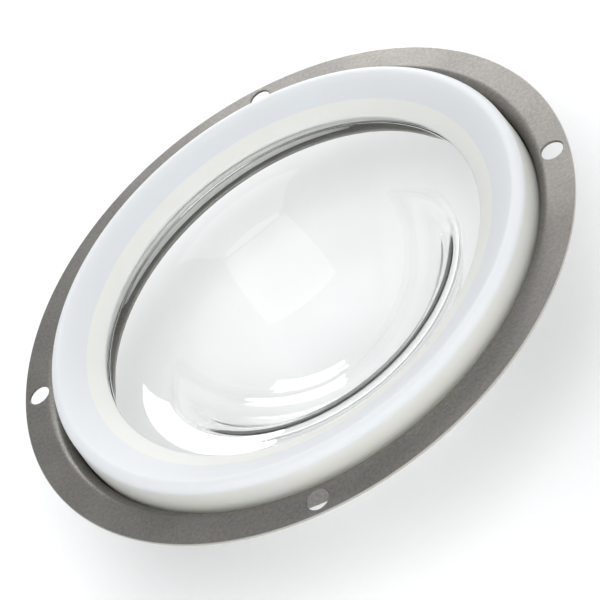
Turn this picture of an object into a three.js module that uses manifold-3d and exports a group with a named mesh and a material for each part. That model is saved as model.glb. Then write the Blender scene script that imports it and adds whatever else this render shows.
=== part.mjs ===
// Lamp glass set: a pressed steel frame ring, a white flared-lip seal and a clear glass bowl.
// Units are millimetres. +Z points to the wall the frame is screwed to. The origin is the
// centre of the flange's wall-side face, and the bowl hangs below it towards -Z.
import * as THREE from 'three';
import { mergeVertices } from 'three/addons/utils/BufferGeometryUtils.js';
import Module from 'manifold-3d';

const wasm = await Module();
wasm.setup();

// ---- frame ring, pressed from one sheet ----
const FLANGE_W = 5.2;          // flat width of the flange, outside the bend
const SHEET = 0.6;             // sheet thickness
const HOLE_D = 4.5;            // clearance hole for a 4 mm screw
const HOLE_COUNT = 4;
const HOLE_INSET = 3.4;        // hole centres, measured inward from the flange's edge
const POCKET_ID = 106.4;       // inside diameter of the drawn pocket
const BEND_R = 2.6;            // bend from the flange down into the pocket, wall-side surface
const FLOOR_BEND_R = 1.2;      // bend from the pocket wall to its floor, inside surface
const LIP_WIDTH = 10.3;        // radial width of the pocket floor left round the glass

// ---- seal ----
const SEAL_CLEAR = 0.3;        // gap between the seal and the steel, all round
const SEAL_FOOT = 2.0;         // seal thickness under the glass rim
const SEAL_FOOT_SET_BACK = 0.9; // foot's inner edge, measured outward from the steel opening
const SEAL_TIP = 0.7;          // thickness of the flared lip at its inner edge
const CREST_RISE = 4.4;        // top of the flared lip above the flange
const CREST_R = 1.7;           // rounding of that top
const CREST_SET_IN = 2.2;      // crest's centre line, measured inward from the seal's side
const SEAL_SHOULDER = 1.7;     // depth below the flange at which the side starts to taper
const CREST_START = 5;         // angle at which the tapering side runs into the crest, degrees
const TIP_EDGE = 0.18;         // bevel on the wall-side edge of the lip

// ---- glass bowl ----
const RIM_T = 2.6;             // thickness of the rim
const WALL_T = 3.2;            // thickness of the bowl wall
const STEP_OUT = 0.8;          // step from wall to rim, measured outward from the mouth
const GLASS_CLEAR = 0.3;       // gap between the glass and the seal's groove
const RIM_GRIP = 7.4;          // how far the rim reaches out under the lip
const MOUTH_SET_IN = 1.3;      // bowl's mouth, measured inward from the steel opening
const LIP_OVER = 0.2;          // how far the seal's lip stops short of the mouth edge
const SHOULDER_R = 13;         // rounding from the rim down into the bowl, inner surface
const WALL_START = 42;         // slope at which the shoulder runs into the wall, degrees
const WALL_R = 22;             // rounding of the wall below the shoulder, inner surface
const WALL_SLOPE = 56;         // steepest slope of the bowl wall, degrees
const RIM_EDGE_R = 0.8;        // fire-polished edge of the rim

// ---- sizes that follow ----
const POCKET_R = POCKET_ID / 2;
const BEND_OUT_R = POCKET_R + BEND_R;            // where the bend meets the flat flange
const FLANGE_R = BEND_OUT_R + FLANGE_W;
const HOLE_CIRCLE_R = FLANGE_R - HOLE_INSET;
const OPENING_R = POCKET_R - LIP_WIDTH;
const SEAL_R = POCKET_R - SEAL_CLEAR;
const MOUTH_R = OPENING_R - MOUTH_SET_IN;
const RIM_R = MOUTH_R + RIM_GRIP;
const LIP_R = MOUTH_R + LIP_OVER;
const LIP_UNDER = -SEAL_TIP;                     // underside of the lip
const RIM_TOP = LIP_UNDER - GLASS_CLEAR;
const RIM_BOTTOM = RIM_TOP - RIM_T;
const GROOVE_BOTTOM = RIM_BOTTOM - GLASS_CLEAR;
const SEAL_BOTTOM = GROOVE_BOTTOM - SEAL_FOOT;
const FLOOR_TOP = SEAL_BOTTOM - SEAL_CLEAR;      // pocket floor, wall side
const DRILL_DEPTH = SHEET + BEND_R;              // passes the sheet on both sides
const SEGMENTS = 96;              // facets round the axis
const HOLE_SEGMENTS = 32;         // facets round each hole
const SHOULDER_STEPS = 6;         // facets along the shoulder of the bowl
const WALL_STEPS = 3;             // facets along its wall
const BALL_STEPS = 10;            // facets along its round bottom

// ---- profile helpers, in (radius, height) ----
const rad = (deg) => (deg * Math.PI) / 180;
const p = (r, z) => new THREE.Vector2(r, z);

function arc(r, z, radius, from, to, steps) {
  const out = [];
  for (let i = 0; i <= steps; i++) {
    const a = rad(from + ((to - from) * i) / steps);
    out.push(p(r + radius * Math.cos(a), z + radius * Math.sin(a)));
  }
  return out;
}

function spin(profile) {
  // the lathe turns about its own Y, so the ring is stood up along Z afterwards
  const geometry = new THREE.LatheGeometry(profile, SEGMENTS);
  geometry.rotateX(Math.PI / 2);
  return geometry;
}

function toManifold(geometry) {
  const bare = geometry.clone();
  bare.deleteAttribute('normal');
  bare.deleteAttribute('uv');
  const merged = mergeVertices(bare, 1e-4);
  return new wasm.Manifold(new wasm.Mesh({
    numProp: 3,
    vertProperties: new Float32Array(merged.attributes.position.array),
    triVerts: new Uint32Array(merged.index.array),
  }));
}

function toGeometry(solid) {
  const mesh = solid.getMesh();
  const geometry = new THREE.BufferGeometry();
  geometry.setAttribute('position', new THREE.BufferAttribute(mesh.vertProperties, 3));
  geometry.setIndex(new THREE.BufferAttribute(mesh.triVerts, 1));
  geometry.computeVertexNormals();
  return geometry;
}

// ---- the pieces ----
function frameProfile() {
  const floorBend = FLOOR_TOP + FLOOR_BEND_R;
  const inner = POCKET_R - FLOOR_BEND_R;
  const profile = [
    p(FLANGE_R, -SHEET),
    p(FLANGE_R, 0),
    ...arc(BEND_OUT_R, -BEND_R, BEND_R, 90, 180, 6),
    ...arc(inner, floorBend, FLOOR_BEND_R, 0, -90, 5),
    p(OPENING_R, FLOOR_TOP),
    p(OPENING_R, FLOOR_TOP - SHEET),
    ...arc(inner, floorBend, FLOOR_BEND_R + SHEET, -90, 0, 5),
    ...arc(BEND_OUT_R, -BEND_R, BEND_R - SHEET, 180, 90, 5),
  ];
  profile.push(profile[0].clone());
  return profile;
}

function makeFrame() {
  let ring = toManifold(spin(frameProfile()));
  for (let i = 0; i < HOLE_COUNT; i++) {
    const a = (2 * Math.PI * i) / HOLE_COUNT;
    const drill = new THREE.CylinderGeometry(HOLE_D / 2, HOLE_D / 2, DRILL_DEPTH, HOLE_SEGMENTS);
    drill.rotateX(Math.PI / 2);
    drill.translate(HOLE_CIRCLE_R * Math.cos(a), HOLE_CIRCLE_R * Math.sin(a), -SHEET / 2);
    ring = ring.subtract(toManifold(drill));
  }
  return toGeometry(ring);
}

function sealProfile() {
  const footR = OPENING_R + SEAL_FOOT_SET_BACK;
  const grooveR = RIM_R + GLASS_CLEAR;
  const crestR = SEAL_R - CREST_SET_IN;
  const crestZ = CREST_RISE - CREST_R;
  const corner = FLOOR_BEND_R;                   // bottom edge clears the pocket's bend
  // the sealing face runs from the lip's edge and touches the crest's rounding
  const run = crestR - LIP_R - TIP_EDGE;
  const slope = Math.atan2(crestZ, run) + Math.asin(CREST_R / Math.hypot(run, crestZ));
  const profile = [
    p(footR, SEAL_BOTTOM),
    ...arc(SEAL_R - corner, SEAL_BOTTOM + corner, corner, -90, 0, 4),
    p(SEAL_R, -SEAL_SHOULDER),
    ...arc(crestR, crestZ, CREST_R, CREST_START, 90 + (slope * 180) / Math.PI, 8),
    p(LIP_R + TIP_EDGE, 0.0),
    p(LIP_R, -TIP_EDGE),
    p(LIP_R, LIP_UNDER),
    p(grooveR, LIP_UNDER),
    p(grooveR, GROOVE_BOTTOM),
    p(footR, GROOVE_BOTTOM),
  ];
  profile.push(profile[0].clone());
  return profile;
}

function bowlCurve(offset) {
  // from the mouth to the axis, `offset` below the surface that faces the wall:
  // a rounded shoulder, a slightly curved wall and a round bottom
  const start = rad(WALL_START);
  const end = rad(WALL_SLOPE);
  const wallR = MOUTH_R - (SHOULDER_R - WALL_R) * Math.sin(start);
  const wallZ = RIM_TOP - SHOULDER_R + (SHOULDER_R - WALL_R) * Math.cos(start);
  const ballR = (wallR - WALL_R * Math.sin(end)) / Math.sin(end);
  const ballZ = wallZ + (WALL_R + ballR) * Math.cos(end);
  const out = [];
  for (let i = 0; i < SHOULDER_STEPS; i++) {
    const a = (start * i) / SHOULDER_STEPS;
    const r = SHOULDER_R - offset;
    out.push(p(MOUTH_R - r * Math.sin(a), RIM_TOP - SHOULDER_R + r * Math.cos(a)));
  }
  for (let i = 0; i < WALL_STEPS; i++) {
    const a = start + ((end - start) * i) / WALL_STEPS;
    const r = WALL_R - offset;
    out.push(p(wallR - r * Math.sin(a), wallZ + r * Math.cos(a)));
  }
  for (let i = BALL_STEPS; i > 0; i--) {
    const a = (end * i) / BALL_STEPS;
    out.push(p((ballR + offset) * Math.sin(a), ballZ - (ballR + offset) * Math.cos(a)));
  }
  out.push(p(0, ballZ - ballR - offset));
  return out;
}

function glassProfile() {
  const stepR = MOUTH_R + STEP_OUT;              // the step drops inside the steel opening
  return [
    ...bowlCurve(WALL_T).reverse(),
    p(stepR, RIM_TOP - WALL_T),
    p(stepR, RIM_BOTTOM),
    ...arc(RIM_R - RIM_EDGE_R, RIM_BOTTOM + RIM_EDGE_R, RIM_EDGE_R, -90, 0, 3),
    ...arc(RIM_R - RIM_EDGE_R, RIM_TOP - RIM_EDGE_R, RIM_EDGE_R, 0, 90, 3),
    ...bowlCurve(0),
  ];
}

function makeMesh(name, geometry, colour, roughness, metalness) {
  const mesh = new THREE.Mesh(geometry,
    new THREE.MeshStandardMaterial({ color: colour, roughness, metalness }));
  mesh.name = name;
  return mesh;
}

const lampGlass = makeMesh('lamp_glass', spin(glassProfile()), 0xeef2f2, 0.05, 0.0);
lampGlass.material.transparent = true;
lampGlass.material.opacity = 0.35;

const object = new THREE.Group();
object.name = 'lamp_glass_set';
object.add(makeMesh('mounting_frame', makeFrame(), 0x9c978f, 0.42, 1.0));
object.add(makeMesh('seal', spin(sealProfile()), 0xe8ebe8, 0.6, 0.0));
object.add(lampGlass);

export default object;
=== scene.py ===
"""Lamp glass set: a pressed steel ring, a white flared-lip seal and a clear glass bowl.

Lengths are in metres in the part's own frame: the origin is the centre of the flange's
wall-side face, +Z points to the wall and the bowl bulges to -Z.
"""

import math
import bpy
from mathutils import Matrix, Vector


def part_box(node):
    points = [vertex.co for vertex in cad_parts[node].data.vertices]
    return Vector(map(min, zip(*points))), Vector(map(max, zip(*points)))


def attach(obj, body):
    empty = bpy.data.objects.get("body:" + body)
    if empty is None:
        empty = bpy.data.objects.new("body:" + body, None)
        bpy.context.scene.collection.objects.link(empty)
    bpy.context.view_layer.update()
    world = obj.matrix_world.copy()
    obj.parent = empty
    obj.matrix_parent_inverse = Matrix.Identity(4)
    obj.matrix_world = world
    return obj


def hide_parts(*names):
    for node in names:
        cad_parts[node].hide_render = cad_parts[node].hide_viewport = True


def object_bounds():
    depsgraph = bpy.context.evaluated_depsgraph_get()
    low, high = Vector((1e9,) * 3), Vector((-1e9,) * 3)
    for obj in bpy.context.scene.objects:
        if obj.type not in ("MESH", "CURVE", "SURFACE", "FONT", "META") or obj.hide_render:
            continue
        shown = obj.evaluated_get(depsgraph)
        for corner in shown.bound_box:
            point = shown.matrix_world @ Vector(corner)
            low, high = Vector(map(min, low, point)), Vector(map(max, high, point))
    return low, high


bl_info = {
    "name": "Lamp Glass Set",
    "version": (1, 0, 0),
    "blender": (4, 5, 0),
    "location": "3D View > Sidebar > Lamp Glass",
    "description": "Builds a steel ring, a white seal and a clear glass bowl, with a stage",
    "category": "Object",
}

import bmesh
import bpy
from bpy.props import FloatProperty, FloatVectorProperty, IntProperty, PointerProperty
from mathutils import Matrix, Vector, noise

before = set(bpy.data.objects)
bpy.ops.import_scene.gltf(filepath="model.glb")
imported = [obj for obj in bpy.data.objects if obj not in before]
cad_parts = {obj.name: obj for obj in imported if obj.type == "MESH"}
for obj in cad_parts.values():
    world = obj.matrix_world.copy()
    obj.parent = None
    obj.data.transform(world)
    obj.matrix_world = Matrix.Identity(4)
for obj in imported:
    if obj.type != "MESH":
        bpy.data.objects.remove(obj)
CAD_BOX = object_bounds()
MM = 0.001
TIP_EDGE = 0.18 * MM  # bevel on the wall-side edge of the lip
FOOT_CORNER = 1.2 * MM  # rounding of the seal's bottom edge
LIP_ROUNDING = 0.25 * MM  # small rounding of the seal's other corners
STEP_ROUNDING = 0.9 * MM  # rounding of the step under the glass rim
SKYLIGHT_FADE = 0.3 * MM  # width over which the painted cool skylight on the face fades out
CAMERA_PLACE = (-104.76, 287.03, 244.77)  # in millimetres
CAMERA_AIM = (-2.33, 7.99, 0.0)  # in millimetres
CAMERA_ROLL = -38.48  # in degrees
RING_LOW, RING_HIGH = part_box("mounting_frame")
SEAL_LOW, SEAL_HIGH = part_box("seal")
GLASS_LOW, GLASS_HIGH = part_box("lamp_glass")


# ---------------------------------------------------------------- settings


def length(name, text, value, low=0.0):
    """A length property in metres."""
    return FloatProperty(
        name=name, description=text, default=value, min=low, precision=5, unit="LENGTH"
    )


def colour(name, text, value):
    """A colour property."""
    return FloatVectorProperty(
        name=name, description=text, default=value, size=3, min=0.0, max=1.0, subtype="COLOR"
    )


class RingSettings(bpy.types.PropertyGroup):
    """Sizes and colours of the steel ring."""

    flange_radius: length("Flange radius", "Outside radius of the flat flange", RING_HIGH[0])
    sheet: length("Sheet", "Thickness of the steel sheet", 0.6 * MM)
    hole_radius: length("Hole radius", "Radius of each screw hole", 2.25 * MM)
    hole_circle: length("Hole circle", "Radius of the circle of the holes", 57.6 * MM)
    pocket_radius: length("Pocket radius", "Inside radius of the drawn pocket", 53.2 * MM)
    bend_radius: length("Bend radius", "Bend from the flange into the pocket", 2.6 * MM)
    floor_bend: length("Floor bend", "Bend from the pocket wall to its floor", 1.2 * MM)
    opening_radius: length("Opening radius", "Radius of the opening in the floor", 42.9 * MM)
    edge_break: length("Edge break", "Rounding of the cut edges of the sheet", 0.16 * MM)
    segments: IntProperty(
        name="Segments", description="Facets round the axis", default=256, min=32, max=512
    )
    steel: colour("Steel", "Colour of the steel where it is clean", (0.305, 0.292, 0.273))
    steel_dark: colour(
        "Dark steel", "Colour of the steel in its darker patches", (0.140, 0.133, 0.121)
    )


class SealSettings(bpy.types.PropertyGroup):
    """Sizes and colours of the seal."""

    outer_radius: length("Outer radius", "Radius of the seal's side", SEAL_HIGH[0])
    taper_start: length("Taper start", "Depth at which the side starts to taper", 1.7 * MM)
    crest_in: length("Crest set in", "Crest, measured in from the side", 2.2 * MM)
    crest_round: length("Crest rounding", "Rounding of the top of the lip", 1.7 * MM)
    lip_radius: length("Lip radius", "Inner radius of the lip", 41.8 * MM)
    lip_thickness: length("Lip thickness", "Thickness of the lip at its inner edge", 0.7 * MM)
    groove_radius: length("Groove radius", "Radius of the groove's bottom", 49.3 * MM)
    groove_depth: length("Groove floor", "Depth of the groove's lower face", 3.9 * MM)
    foot_radius: length("Foot radius", "Inner radius of the foot", 43.8 * MM)
    # face inner and face outer bound the band of painted cool skylight; the cooler skin named
    # here is painted light on one white silicone
    face_inner: length("Face inner", "Inner radius of the cooler skin", 45.1 * MM)
    face_outer: length("Face outer", "Outer radius of the cooler skin", 52.4 * MM)
    segments: IntProperty(
        name="Segments", description="Facets round the axis", default=256, min=32, max=512
    )
    # painted light: face is the silicone tinted cool as if skylit, body the same silicone tinted
    # warm as if shaded beside the steel
    face: colour("Face", "Colour of the silicone on the sealing face", (0.640, 0.662, 0.682))
    body: colour("Body", "Colour of the silicone elsewhere", (0.705, 0.705, 0.665))


class GlassSettings(bpy.types.PropertyGroup):
    """Sizes of the glass bowl."""

    mouth_radius: length("Mouth radius", "Radius at which the rim turns into the bowl", 41.6 * MM)
    rim_radius: length("Rim radius", "Outside radius of the rim", GLASS_HIGH[0])
    thickness: length("Rim thickness", "Thickness of the rim", 2.6 * MM)
    wall_thickness: length("Wall thickness", "Thickness of the bowl's wall", 3.2 * MM)
    step_out: length("Step", "Step under the rim, outside the mouth", 0.8 * MM)
    shoulder_radius: length("Shoulder radius", "Rounding from the rim into the bowl", 13.0 * MM)
    wall_start: FloatProperty(
        name="Wall start", description="Slope at which the shoulder runs into the wall",
        default=math.radians(42.0), subtype="ANGLE", unit="ROTATION"
    )
    wall_radius: length("Wall radius", "Rounding of the wall below the shoulder", 22.0 * MM)
    wall_slope: FloatProperty(
        name="Wall slope", description="Steepest slope of the wall", default=math.radians(56.0),
        subtype="ANGLE", unit="ROTATION"
    )
    rim_edge: length("Rim edge", "Rounding of the rim's edge", 0.8 * MM)
    waviness: length("Waviness", "Depth of the waves left by pressing", 0.05 * MM)
    segments: IntProperty(
        name="Segments", description="Facets round the axis", default=256, min=32, max=512
    )
    tint: colour("Tint", "Colour of the glass", (0.965, 0.975, 0.97))


class StageSettings(bpy.types.PropertyGroup):
    """Floor, light and camera."""

    floor_size: length("Floor size", "Side of the square floor", 6.0)
    floor: colour("Floor", "Colour of the floor", (0.96, 0.96, 0.96))
    world_strength: FloatProperty(
        name="World strength", description="Strength of the light from all round",
        default=0.74, min=0.0
    )
    top_power: FloatProperty(
        name="Top power", description="Power of the wide soft light overhead",
        default=8.5, min=0.0, unit="POWER"
    )
    far_power: FloatProperty(
        name="Far power", description="Power of the soft panel beyond the part",
        default=4.0, min=0.0, unit="POWER"
    )
    near_power: FloatProperty(
        name="Near power", description="Power of the low soft panel under the camera",
        default=7.5, min=0.0, unit="POWER"
    )
    focal_length: FloatProperty(
        name="Focal length", description="Focal length of the camera", default=120.0, min=1.0
    )


# ---------------------------------------------------------------- mesh helpers


def arc(r, z, radius, start, end, steps):
    """Points of an arc in the (radius, height) plane, angles in degrees."""
    points = []
    for i in range(steps + 1):
        a = math.radians(start + (end - start) * i / steps)
        points.append((r + radius * math.cos(a), z + radius * math.sin(a)))
    return points


def steps(first, last, count):
    """Evenly spaced values from first to last, both included."""
    return [first + (last - first) * i / count for i in range(count + 1)]


def rounded(points, radius, steps=4):
    """A closed outline with every corner in `points` that has a rounding rounded off.

    Each point is (r, z, rounding); a rounding of 0 keeps the corner sharp.
    """
    out = []
    count = len(points)
    for i, (r, z, own) in enumerate(points):
        size = own * radius
        if size <= 0.0:
            out.append((r, z))
            continue
        here = Vector((r, z))
        before = Vector(points[i - 1][:2]) - here
        after = Vector(points[(i + 1) % count][:2]) - here
        size = min(size, 0.45 * before.length, 0.45 * after.length)
        start = here + before.normalized() * size
        end = here + after.normalized() * size
        for k in range(steps + 1):
            t = k / steps
            q = start * (1 - t) ** 2 + here * (2 * t * (1 - t)) + end * t**2
            out.append((q.x, q.y))
    return out


def spin(name, outline, segments, shift=None):
    """A closed outline turned about Z. Points on the axis become one vertex.

    `shift(r, z, angle)` may return a small move (dr, dz) of a vertex.
    """
    verts, faces, rows = [], [], []
    for r, z in outline:
        if r < 1e-7:
            rows.append([len(verts)] * segments)
            verts.append((0.0, 0.0, z))
            continue
        rows.append(list(range(len(verts), len(verts) + segments)))
        for k in range(segments):
            a = 2 * math.pi * k / segments
            dr, dz = shift(r, z, a) if shift else (0.0, 0.0)
            verts.append(((r + dr) * math.cos(a), (r + dr) * math.sin(a), z + dz))
    for i, row in enumerate(rows):
        nxt = rows[(i + 1) % len(rows)]
        for k in range(segments):
            m = (k + 1) % segments
            corners = []
            for v in (row[k], row[m], nxt[m], nxt[k]):
                if v not in corners:
                    corners.append(v)
            if len(corners) > 2:
                faces.append(corners)
    mesh = bpy.data.meshes.new(name)
    mesh.from_pydata(verts, [], faces)
    bm = bmesh.new()
    bm.from_mesh(mesh)
    bmesh.ops.recalc_face_normals(bm, faces=bm.faces)
    bm.to_mesh(mesh)
    bm.free()
    piece = bpy.data.objects.new(name, mesh)
    bpy.context.scene.collection.objects.link(piece)
    return piece


def shade(piece, degrees=30.0):
    """Smooth shading with sharp edges kept past an angle."""
    mesh = piece.data
    mesh.polygons.foreach_set("use_smooth", [True] * len(mesh.polygons))
    mesh.set_sharp_from_angle(angle=math.radians(degrees))
    mesh.update()


def bake_modifiers(piece):
    """Replaces a piece's mesh with the result of its modifiers."""
    graph = bpy.context.evaluated_depsgraph_get()
    mesh = bpy.data.meshes.new_from_object(piece.evaluated_get(graph))
    piece.modifiers.clear()
    old = piece.data
    piece.data = mesh
    mesh.name = piece.name
    bpy.data.meshes.remove(old)


# ---------------------------------------------------------------- node helpers


def new_group(name, inputs, outputs):
    """A shader node group with named sockets: (name, type, default) and (name, type)."""
    tree = bpy.data.node_groups.new(name, "ShaderNodeTree")
    for label, kind, default in inputs:
        socket = tree.interface.new_socket(name=label, in_out="INPUT", socket_type=kind)
        if default is not None:
            socket.default_value = default
    for label, kind in outputs:
        tree.interface.new_socket(name=label, in_out="OUTPUT", socket_type=kind)
    return tree, tree.nodes.new("NodeGroupInput"), tree.nodes.new("NodeGroupOutput")


def add(tree, kind, links=(), **values):
    """Adds a node. Plain values set its properties; `links` are (socket, source or value)."""
    node = tree.nodes.new(kind)
    for key, value in values.items():
        setattr(node, key, value)
    for socket, source in links:
        target = node.inputs[socket]
        if isinstance(source, bpy.types.NodeSocket):
            tree.links.new(source, target)
        else:
            target.default_value = source
    return node


def maths(tree, operation, first, second=None, third=None, clamp=False):
    """One Math node and its output."""
    links = [(i, v) for i, v in enumerate((first, second, third)) if v is not None]
    return add(tree, "ShaderNodeMath", links, operation=operation, use_clamp=clamp).outputs[0]


def remap(tree, value, low, high, new_low=0.0, new_high=1.0):
    """A clamped Map Range and its output."""
    node = add(
        tree,
        "ShaderNodeMapRange",
        [("Value", value), ("From Min", low), ("From Max", high), ("To Min", new_low),
         ("To Max", new_high)],
        clamp=True,
    )
    return node.outputs["Result"]


def blend_colour(tree, factor, first, second, mode="MIX"):
    """One colour Mix node and its output."""
    node = tree.nodes.new("ShaderNodeMix")
    node.data_type = "RGBA"
    node.blend_type = mode
    for index, source in ((0, factor), (6, first), (7, second)):
        target = node.inputs[index]
        if isinstance(source, bpy.types.NodeSocket):
            tree.links.new(source, target)
        elif index:
            target.default_value = (*source, 1.0) if len(source) == 3 else source
        else:
            target.default_value = source
    return node.outputs[2]


def fine_grain_group():
    """Small random bumps at two sizes: Height for bump, Tone for colour and gloss."""
    tree, enter, leave = new_group(
        "Fine grain",
        [("Vector", "NodeSocketVector", None), ("Size", "NodeSocketFloat", 0.0005),
         ("Detail share", "NodeSocketFloat", 0.4)],
        [("Height", "NodeSocketFloat"), ("Tone", "NodeSocketFloat")],
    )
    scale = maths(tree, "DIVIDE", 1.0, enter.outputs["Size"])
    coarse = add(
        tree, "ShaderNodeTexNoise",
        [("Vector", enter.outputs["Vector"]), ("Scale", scale), ("Detail", 3.0),
         ("Roughness", 0.6)],
    )
    finer = maths(tree, "MULTIPLY", scale, 3.7)
    fine = add(
        tree, "ShaderNodeTexNoise",
        [("Vector", enter.outputs["Vector"]), ("Scale", finer), ("Detail", 2.0),
         ("Roughness", 0.7)],
    )
    mixed = add(
        tree, "ShaderNodeMix",
        [("Factor", enter.outputs["Detail share"])], data_type="FLOAT",
    )
    tree.links.new(coarse.outputs["Fac"], mixed.inputs[2])
    tree.links.new(fine.outputs["Fac"], mixed.inputs[3])
    tree.links.new(mixed.outputs[0], leave.inputs["Height"])
    tree.links.new(remap(tree, mixed.outputs[0], 0.36, 0.64), leave.inputs["Tone"])
    return tree


def specks_group():
    """Scattered round specks: Mask is 1 on a speck, with speck sizes that vary."""
    tree, enter, leave = new_group(
        "Specks",
        [("Vector", "NodeSocketVector", None), ("Spacing", "NodeSocketFloat", 0.002),
         ("Share", "NodeSocketFloat", 0.3), ("Radius", "NodeSocketFloat", 0.12)],
        [("Mask", "NodeSocketFloat")],
    )
    scale = maths(tree, "DIVIDE", 1.0, enter.outputs["Spacing"])
    cells = add(
        tree, "ShaderNodeTexVoronoi",
        [("Vector", enter.outputs["Vector"]), ("Scale", scale)], feature="F1",
    )
    pick = add(tree, "ShaderNodeSeparateColor", [("Color", cells.outputs["Color"])])
    chosen = maths(tree, "LESS_THAN", pick.outputs[0], enter.outputs["Share"])
    size = maths(tree, "MULTIPLY_ADD", pick.outputs[1], 0.8, 0.3)
    size = maths(tree, "MULTIPLY", size, enter.outputs["Radius"])
    inner = maths(tree, "MULTIPLY", size, 0.4)
    spot = add(
        tree, "ShaderNodeMapRange",
        [("Value", cells.outputs["Distance"]), ("From Min", size), ("From Max", inner),
         ("To Min", 0.0), ("To Max", 1.0)],
        clamp=True,
    )
    tree.links.new(maths(tree, "MULTIPLY", spot.outputs[0], chosen), leave.inputs["Mask"])
    return tree


def band_group():
    """A mask that is 1 between two radii from the axis, with soft edges."""
    tree, enter, leave = new_group(
        "Radial band",
        [("Vector", "NodeSocketVector", None), ("Inner", "NodeSocketFloat", 0.0),
         ("Outer", "NodeSocketFloat", 1.0), ("Softness", "NodeSocketFloat", 0.0005)],
        [("Mask", "NodeSocketFloat")],
    )
    flat = add(tree, "ShaderNodeVectorMath",
               [(0, enter.outputs["Vector"]), (1, (1.0, 1.0, 0.0))], operation="MULTIPLY")
    size = add(tree, "ShaderNodeVectorMath", [(0, flat.outputs[0])], operation="LENGTH")
    radius = size.outputs["Value"]
    up = maths(tree, "DIVIDE", maths(tree, "SUBTRACT", radius, enter.outputs["Inner"]),
               enter.outputs["Softness"], clamp=True)
    down = maths(tree, "DIVIDE", maths(tree, "SUBTRACT", enter.outputs["Outer"], radius),
                 enter.outputs["Softness"], clamp=True)
    tree.links.new(maths(tree, "MULTIPLY", up, down), leave.inputs["Mask"])
    return tree


def group(name):
    """The shared group of that name, built on first use."""
    builders = {"Fine grain": fine_grain_group, "Specks": specks_group,
                "Radial band": band_group}
    return bpy.data.node_groups.get(name) or builders[name]()


def use_group(tree, name, vector, **values):
    """Places a shared group in a material with its own values."""
    node = tree.nodes.new("ShaderNodeGroup")
    node.node_tree = group(name)
    tree.links.new(vector, node.inputs["Vector"])
    for key, value in values.items():
        node.inputs[key.replace("_", " ")].default_value = value
    return node


def new_material(name):
    """A material with its Principled shader, output and object coordinates."""
    material = bpy.data.materials.new(name)
    material.use_nodes = True
    tree = material.node_tree
    tree.nodes.clear()
    shader = tree.nodes.new("ShaderNodeBsdfPrincipled")
    out = tree.nodes.new("ShaderNodeOutputMaterial")
    tree.links.new(shader.outputs[0], out.inputs["Surface"])
    place = tree.nodes.new("ShaderNodeTexCoord").outputs["Object"]
    return material, tree, shader, out, place


def bump(tree, height, strength, distance, before=None):
    """A Bump node and its normal."""
    links = [("Height", height), ("Strength", strength), ("Distance", distance)]
    if before is not None:
        links.append(("Normal", before))
    return add(tree, "ShaderNodeBump", links).outputs[0]


# ---------------------------------------------------------------- materials


def tumbled_steel(settings):
    """Rolled stainless sheet, tumbled after pressing: warm grey, satin, finely speckled."""
    material, tree, shader, _, place = new_material("tumbled_steel")
    broad = add(tree, "ShaderNodeTexNoise",
                [("Vector", place), ("Scale", 38.0), ("Detail", 3.0), ("Roughness", 0.55)])
    grain = use_group(tree, "Fine grain", place, Size=0.0007, Detail_share=0.5)
    pits = use_group(tree, "Specks", place, Spacing=0.0007, Share=0.30, Radius=0.28)
    dents = use_group(tree, "Specks", place, Spacing=0.0046, Share=0.35, Radius=0.16)
    rolled = add(tree, "ShaderNodeMapping", [("Vector", place), ("Scale", (1.0, 22.0, 1.0))])
    lines = add(tree, "ShaderNodeTexNoise",
                [("Vector", rolled.outputs[0]), ("Scale", 120.0), ("Detail", 4.0),
                 ("Roughness", 0.65)])
    # painted highlight: a narrow warm bright band on the flange's outer cut edge, where light
    # glints
    edge = use_group(tree, "Radial band", place, Inner=settings.flange_radius - 0.00018,
                     Outer=1.0, Softness=0.00010)
    tone = maths(tree, "MULTIPLY_ADD", grain.outputs["Tone"], 0.55,
                 maths(tree, "MULTIPLY", remap(tree, broad.outputs["Fac"], 0.35, 0.65), 0.35))
    tone = maths(tree, "MULTIPLY_ADD", lines.outputs["Fac"], 0.18, tone, clamp=True)
    colours = blend_colour(tree, tone, tuple(settings.steel_dark), tuple(settings.steel))
    colours = blend_colour(tree, maths(tree, "MULTIPLY", pits.outputs[0], 0.55), colours,
                           (0.11, 0.104, 0.094))
    # lays the painted edge highlight over the steel colour
    colours = blend_colour(tree, maths(tree, "MULTIPLY", edge.outputs[0], 0.75), colours,
                           (0.62, 0.59, 0.54))
    tree.links.new(colours, shader.inputs["Base Color"])
    shader.inputs["Metallic"].default_value = 1.0
    rough = maths(tree, "MULTIPLY_ADD", grain.outputs["Tone"], -0.09, 0.39)
    rough = maths(tree, "MULTIPLY_ADD", pits.outputs[0], 0.10, rough, clamp=True)
    tree.links.new(rough, shader.inputs["Roughness"])
    normal = bump(tree, grain.outputs["Height"], 0.30, 0.00012)
    normal = bump(tree, lines.outputs["Fac"], 0.10, 0.00006, normal)
    hollow = maths(tree, "SUBTRACT", 1.0,
                   maths(tree, "MAXIMUM", pits.outputs[0], dents.outputs[0]))
    tree.links.new(bump(tree, hollow, 0.22, 0.00007, normal), shader.inputs["Normal"])
    return material


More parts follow.
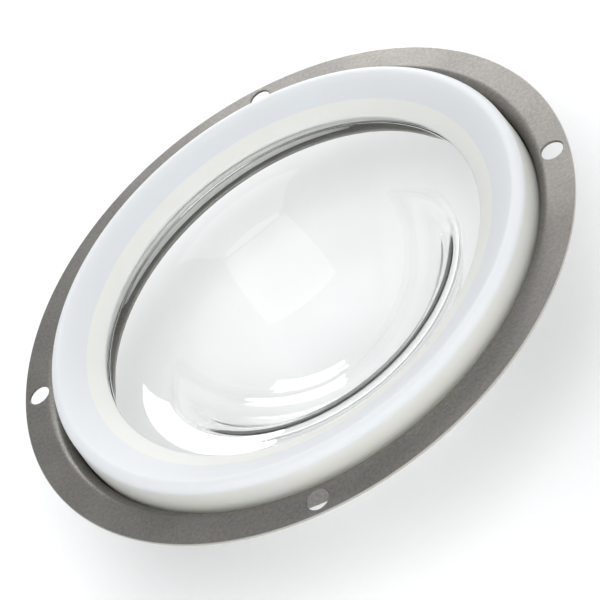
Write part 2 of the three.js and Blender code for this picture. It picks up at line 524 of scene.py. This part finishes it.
def white_silicone(settings):
    """Translucent white silicone with a little dust, and painted light: a cool skylit tint on the
    sealing face, a warm tint of shade and of light bounced from the steel on the rest.
    """
    material, tree, shader, _, place = new_material("white_silicone")
    cloud = add(tree, "ShaderNodeTexNoise",
                [("Vector", place), ("Scale", 45.0), ("Detail", 2.0), ("Roughness", 0.5)])
    grain = use_group(tree, "Fine grain", place, Size=0.0009, Detail_share=0.35)
    dust = use_group(tree, "Specks", place, Spacing=0.0042, Share=0.16, Radius=0.045)
    # painted light: the cool skylit colour on the face band, the warm shaded colour on the rest
    # of the seal
    face = use_group(tree, "Radial band", place, Inner=settings.face_inner - SKYLIGHT_FADE / 2,
                     Outer=settings.face_outer + SKYLIGHT_FADE / 2, Softness=SKYLIGHT_FADE)
    mask = face.outputs[0]
    colours = blend_colour(tree, mask, tuple(settings.body), tuple(settings.face))
    tone = remap(tree, cloud.outputs["Fac"], 0.3, 0.7, 0.0, 0.35)
    warm = blend_colour(tree, tone, (1.0, 1.0, 1.0), (0.965, 0.96, 0.94))
    colours = blend_colour(tree, 1.0, colours, warm, "MULTIPLY")
    colours = blend_colour(tree, maths(tree, "MULTIPLY", dust.outputs[0], 0.16), colours,
                           (0.50, 0.47, 0.42))
    tree.links.new(colours, shader.inputs["Base Color"])
    rough = maths(tree, "MULTIPLY_ADD", grain.outputs["Tone"], 0.08, 0.44)
    rough = maths(tree, "MULTIPLY_ADD", dust.outputs[0], 0.2, rough, clamp=True)
    tree.links.new(rough, shader.inputs["Roughness"])
    shader.inputs["Subsurface Weight"].default_value = 0.85
    shader.inputs["Subsurface Radius"].default_value = (1.0, 0.95, 0.85)
    shader.inputs["Subsurface Scale"].default_value = 0.005
    shader.inputs["IOR"].default_value = 1.41
    tree.links.new(bump(tree, grain.outputs["Height"], 0.08, 0.00008), shader.inputs["Normal"])
    return material


def clear_glass(settings):
    """Pressed clear glass: soft waves, fine dust and faint wiping marks, no stain."""
    material, tree, shader, out, place = new_material("clear_glass")
    smear = add(tree, "ShaderNodeTexNoise",
                [("Vector", place), ("Scale", 26.0), ("Detail", 4.0), ("Roughness", 0.6)])
    waves = add(tree, "ShaderNodeTexNoise",
                [("Vector", place), ("Scale", 55.0), ("Detail", 1.0), ("Roughness", 0.4)])
    dust = use_group(tree, "Specks", place, Spacing=0.0055, Share=0.12, Radius=0.03)
    marks = remap(tree, smear.outputs["Fac"], 0.52, 0.75, 0.0, 0.035)
    rough = maths(tree, "MULTIPLY_ADD", dust.outputs[0], 0.25, marks, clamp=True)
    tree.links.new(rough, shader.inputs["Roughness"])
    pale = blend_colour(tree, remap(tree, smear.outputs["Fac"], 0.35, 0.7), tuple(settings.tint),
                        (0.985, 0.99, 0.985))
    tree.links.new(pale, shader.inputs["Base Color"])
    shader.inputs["Metallic"].default_value = 0.0
    shader.inputs["Transmission Weight"].default_value = 1.0
    shader.inputs["IOR"].default_value = 1.474
    tree.links.new(bump(tree, waves.outputs["Fac"], 0.05, 0.0004), shader.inputs["Normal"])
    # lamps shine through the glass, less what its surfaces turn back
    clear = add(tree, "ShaderNodeBsdfTransparent", [("Color", (0.90, 0.915, 0.91, 1.0))])
    path = tree.nodes.new("ShaderNodeLightPath")
    mixed = add(tree, "ShaderNodeMixShader", [(0, path.outputs["Is Shadow Ray"])])
    tree.links.new(shader.outputs[0], mixed.inputs[1])
    tree.links.new(clear.outputs[0], mixed.inputs[2])
    tree.links.new(mixed.outputs[0], out.inputs["Surface"])
    return material


def pale_floor(settings):
    """Matt pale board with a hardly visible grain."""
    material, tree, shader, _, place = new_material("pale_floor")
    grain = use_group(tree, "Fine grain", place, Size=0.004, Detail_share=0.5)
    light = tuple(settings.floor)
    colours = blend_colour(tree, grain.outputs["Tone"], tuple(0.985 * c for c in light), light)
    tree.links.new(colours, shader.inputs["Base Color"])
    shader.inputs["Roughness"].default_value = 0.9
    shader.inputs["Specular IOR Level"].default_value = 0.1
    tree.links.new(bump(tree, grain.outputs["Height"], 0.05, 0.0003), shader.inputs["Normal"])
    return material


# ---------------------------------------------------------------- outlines


def ring_outline(s):
    """Outline of the pressed sheet, all round, in (radius, height)."""
    t, e = s.sheet, s.edge_break
    floor_top = RING_LOW[2] + t
    bend = s.pocket_radius + s.bend_radius
    inner = s.pocket_radius - s.floor_bend
    turn = floor_top + s.floor_bend
    outline = arc(s.flange_radius - e, -t + e, e, -90, 0, 4)
    outline += arc(s.flange_radius - e, -e, e, 0, 90, 4)
    outline += [(s.flange_radius - e - 0.06 * MM, 0.0), (bend + 0.06 * MM, 0.0)]
    outline += arc(bend, -s.bend_radius, s.bend_radius, 90, 180, 14)
    outline += arc(inner, turn, s.floor_bend, 0, -90, 9)
    outline += [(s.opening_radius + e + 0.06 * MM, floor_top)]
    outline += arc(s.opening_radius + e, floor_top - e, e, 90, 180, 4)
    outline += arc(s.opening_radius + e, floor_top - t + e, e, 180, 270, 4)
    outline += [(s.opening_radius + e + 0.06 * MM, floor_top - t)]
    outline += arc(inner, turn, s.floor_bend + t, -90, 0, 12)
    outline += arc(bend, -s.bend_radius, s.bend_radius - t, 180, 90, 10)
    outline += [(s.flange_radius - e - 0.06 * MM, -t)]
    return outline


def seal_outline(s):
    """Outline of the seal: foot, tapering side, flared lip and groove."""
    bottom = SEAL_LOW[2]
    crest_r = s.outer_radius - s.crest_in
    crest_z = SEAL_HIGH[2] - s.crest_round
    run = crest_r - s.lip_radius - TIP_EDGE
    slope = math.degrees(math.atan2(crest_z, run)
                         + math.asin(s.crest_round / math.hypot(run, crest_z)))
    outline = arc(s.outer_radius - FOOT_CORNER, bottom + FOOT_CORNER, FOOT_CORNER, -90, 0, 8)
    outline += [(s.outer_radius, -s.taper_start)]
    outline += arc(crest_r, crest_z, s.crest_round, 5, 90 + slope, 20)
    lip = [
        (s.lip_radius, 0.0, 1.0), (s.lip_radius, -s.lip_thickness, 0.6),
        (s.groove_radius, -s.lip_thickness, 1.0), (s.groove_radius, -s.groove_depth, 1.0),
        (s.foot_radius, -s.groove_depth, 1.0), (s.foot_radius, bottom, 1.0),
    ]
    ends = [(*outline[-1], 0.0), *lip, (*outline[0], 0.0)]
    return outline[:-1] + rounded(ends, LIP_ROUNDING)[:-1]


def bowl_curve(s, offset):
    """From the mouth to the axis, `offset` below the surface that faces the wall.

    A rounded shoulder runs into a slightly curved wall, and the wall into the ball.
    """
    top = GLASS_HIGH[2]
    start, end = s.wall_start, s.wall_slope
    shoulder = s.shoulder_radius
    wall_r = s.mouth_radius - shoulder * math.sin(start)
    wall_z = top - shoulder * (1 - math.cos(start))
    ball_r = wall_r - s.wall_radius * (math.sin(end) - math.sin(start))
    ball_z = wall_z - s.wall_radius * (math.cos(start) - math.cos(end))
    ball = ball_r / math.sin(end)
    points = []
    for a in steps(0.0, start, 20):
        points.append((s.mouth_radius - (shoulder - offset) * math.sin(a),
                       top - shoulder + (shoulder - offset) * math.cos(a)))
    for a in steps(start, end, 20)[1:]:
        points.append((wall_r + s.wall_radius * math.sin(start)
                       - (s.wall_radius - offset) * math.sin(a),
                       wall_z - s.wall_radius * math.cos(start)
                       + (s.wall_radius - offset) * math.cos(a)))
    for a in steps(end, 0.0, 44)[1:]:
        points.append(((ball + offset) * math.sin(a),
                       ball_z + ball * math.cos(end) - (ball + offset) * math.cos(a)))
    points[-1] = (0.0, points[-1][1])
    return points


def glass_outline(s):
    """Outline of the bowl from the axis under it, round the rim and back to the axis."""
    top = GLASS_HIGH[2]
    under = bowl_curve(s, s.wall_thickness)
    under.reverse()
    rim_under = top - s.thickness
    step = s.wall_thickness - s.thickness
    if step > 0.1 * MM:
        foot = (s.mouth_radius + s.step_out, rim_under)
        corner = (foot[0], rim_under - step, 1.0)
        beyond = (foot[0] + 2 * MM, rim_under, 0.0)
        under += rounded([(*under[-1], 0.0), corner, (*foot, 0.4), beyond], STEP_ROUNDING)[1:]
    e = s.rim_edge
    rim = arc(s.rim_radius - e, rim_under + e, e, -90, 0, 6)
    rim += arc(s.rim_radius - e, top - e, e, 0, 90, 6)
    return under + rim + bowl_curve(s, 0.0)


# ---------------------------------------------------------------- operators


class LAMPSET_OT_ring(bpy.types.Operator):
    """Builds the pressed steel ring with its four holes"""

    bl_idname = "lampset.ring"
    bl_label = "Steel Ring"

    def execute(self, context):
        s = context.scene.lampset_ring
        ring = spin("steel_ring", ring_outline(s), s.segments)
        e = s.edge_break
        t = s.sheet
        drill = [(0.0, -t - 1.0 * MM), (s.hole_radius + e + 1.0 * MM, -t - 1.0 * MM),
                 (s.hole_radius, -t + e), (s.hole_radius, -e),
                 (s.hole_radius + e + 1.0 * MM, 1.0 * MM), (0.0, 1.0 * MM)]
        drills = []
        for k in range(4):
            cutter = spin(f"drill_{k}", drill, 48)
            a = math.pi / 2 * k
            cutter.location = (s.hole_circle * math.cos(a), s.hole_circle * math.sin(a), 0.0)
            cut = ring.modifiers.new(f"hole_{k}", "BOOLEAN")
            cut.object = cutter
            cut.operation = "DIFFERENCE"
            cut.solver = "EXACT"
            drills.append(cutter)
        context.view_layer.update()
        bake_modifiers(ring)
        for cutter in drills:
            mesh = cutter.data
            bpy.data.objects.remove(cutter)
            bpy.data.meshes.remove(mesh)
        shade(ring, 32.0)
        ring.data.materials.clear()
        ring.data.materials.append(tumbled_steel(s))
        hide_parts("mounting_frame")
        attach(ring, "ring")
        return {"FINISHED"}


class LAMPSET_OT_seal(bpy.types.Operator):
    """Builds the white seal with its flared lip and glass groove"""

    bl_idname = "lampset.seal"
    bl_label = "Seal"

    def execute(self, context):
        s = context.scene.lampset_seal
        seal = spin("silicone_seal", seal_outline(s), s.segments)
        shade(seal, 40.0)
        seal.data.materials.append(white_silicone(s))
        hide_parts("seal")
        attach(seal, "glass_and_seal")
        return {"FINISHED"}


class LAMPSET_OT_glass(bpy.types.Operator):
    """Builds the clear glass bowl"""

    bl_idname = "lampset.glass"
    bl_label = "Glass Bowl"

    def execute(self, context):
        s = context.scene.lampset_glass

        def pressed(r, z, angle):
            if r > s.mouth_radius + 1.0 * MM:
                return 0.0, 0.0
            spot = Vector((math.cos(angle), math.sin(angle), z / (12 * MM))) * (r / (22 * MM))
            size = s.waviness * min(1.0, r / (10 * MM))
            return 0.0, size * noise.noise(spot + Vector((3.1, 7.7, 1.3)))

        bowl = spin("glass_bowl", glass_outline(s), s.segments, pressed)
        shade(bowl, 60.0)
        bowl.data.materials.append(clear_glass(s))
        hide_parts("lamp_glass")
        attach(bowl, "glass_and_seal")
        return {"FINISHED"}


def soft_light(name, place, aim, size, power, mirrored=True):
    """A square area light that faces a point; shiny surfaces may be kept from mirroring it."""
    data = bpy.data.lights.new(name, "AREA")
    data.size = size
    data.energy = power
    light = bpy.data.objects.new(name, data)
    bpy.context.scene.collection.objects.link(light)
    light.visible_glossy = mirrored
    light.location = place
    light.rotation_euler = (Vector(aim) - Vector(place)).to_track_quat("-Z", "Y").to_euler()
    return light


class LAMPSET_OT_stage(bpy.types.Operator):
    """Builds the floor, the lights and the camera"""

    bl_idname = "lampset.stage"
    bl_label = "Stage"

    def execute(self, context):
        s = context.scene.lampset_stage
        half = s.floor_size / 2
        level = CAD_BOX[0][2] - 0.00002
        mesh = bpy.data.meshes.new("floor")
        mesh.from_pydata([(-half, -half, level), (half, -half, level), (half, half, level),
                          (-half, half, level)], [], [(0, 1, 2, 3)])
        floor = bpy.data.objects.new("floor", mesh)
        context.scene.collection.objects.link(floor)
        mesh.materials.append(pale_floor(s))

        world = bpy.data.worlds.new("studio")
        context.scene.world = world
        world.use_nodes = True
        sky = world.node_tree.nodes["Background"]
        sky.inputs["Color"].default_value = (0.97, 0.985, 1.0, 1.0)
        sky.inputs["Strength"].default_value = s.world_strength

        place = Vector(CAMERA_PLACE) * MM
        aim = Vector(CAMERA_AIM) * MM
        data = bpy.data.cameras.new("camera")
        data.sensor_width = 36.0
        data.lens = s.focal_length
        data.clip_start = 0.01
        data.clip_end = 50.0
        camera = bpy.data.objects.new("camera", data)
        context.scene.collection.objects.link(camera)
        turn = (aim - place).to_track_quat("-Z", "Y").to_matrix()
        turn = turn @ Matrix.Rotation(math.radians(CAMERA_ROLL), 3, "Z")
        camera.matrix_world = Matrix.Translation(place) @ turn.to_4x4()
        context.scene.camera = camera

        def around(azimuth, elevation, distance):
            flat = distance * math.cos(math.radians(elevation))
            turn_to = math.radians(azimuth)
            return (flat * math.cos(turn_to), flat * math.sin(turn_to),
                    distance * math.sin(math.radians(elevation)))

        soft_light("overhead", around(110.0, 62.0, 1.5), (0, 0, 0), 1.5, s.top_power, False)
        soft_light("far_panel", around(272.0, 18.0, 1.0), (0, 0, 0), 0.5, s.far_power)
        soft_light("near_panel", around(110.0, 12.0, 1.2), (0, 0, 0), 1.0, s.near_power, False)
        context.scene.view_settings.view_transform = "Standard"
        return {"FINISHED"}


class LAMPSET_PT_panel(bpy.types.Panel):
    """Lists the builders and their settings"""

    bl_idname = "LAMPSET_PT_panel"
    bl_label = "Lamp Glass Set"
    bl_space_type = "VIEW_3D"
    bl_region_type = "UI"
    bl_category = "Lamp Glass"

    def draw(self, context):
        scene = context.scene
        for operator, settings in (
            (LAMPSET_OT_ring, scene.lampset_ring), (LAMPSET_OT_seal, scene.lampset_seal),
            (LAMPSET_OT_glass, scene.lampset_glass), (LAMPSET_OT_stage, scene.lampset_stage),
        ):
            box = self.layout.box()
            box.operator(operator.bl_idname)
            for key in settings.__annotations__:
                box.prop(settings, key)


OPERATORS = (LAMPSET_OT_ring, LAMPSET_OT_seal, LAMPSET_OT_glass, LAMPSET_OT_stage)
SETTINGS = {
    "lampset_ring": RingSettings, "lampset_seal": SealSettings,
    "lampset_glass": GlassSettings, "lampset_stage": StageSettings,
}


def register():
    """Registers the settings, the operators and the panel."""
    for name, cls in SETTINGS.items():
        bpy.utils.register_class(cls)
        setattr(bpy.types.Scene, name, PointerProperty(type=cls))
    for cls in (*OPERATORS, LAMPSET_PT_panel):
        bpy.utils.register_class(cls)


def unregister():
    """Takes everything out again."""
    for cls in (LAMPSET_PT_panel, *reversed(OPERATORS)):
        bpy.utils.unregister_class(cls)
    for name, cls in SETTINGS.items():
        delattr(bpy.types.Scene, name)
        bpy.utils.unregister_class(cls)


def main():
    """Builds everything."""
    register()
    bpy.ops.lampset.stage()
    bpy.ops.lampset.ring()
    bpy.ops.lampset.seal()
    bpy.ops.lampset.glass()
    bpy.context.view_layer.update()


if __name__ == "__main__":
    main()
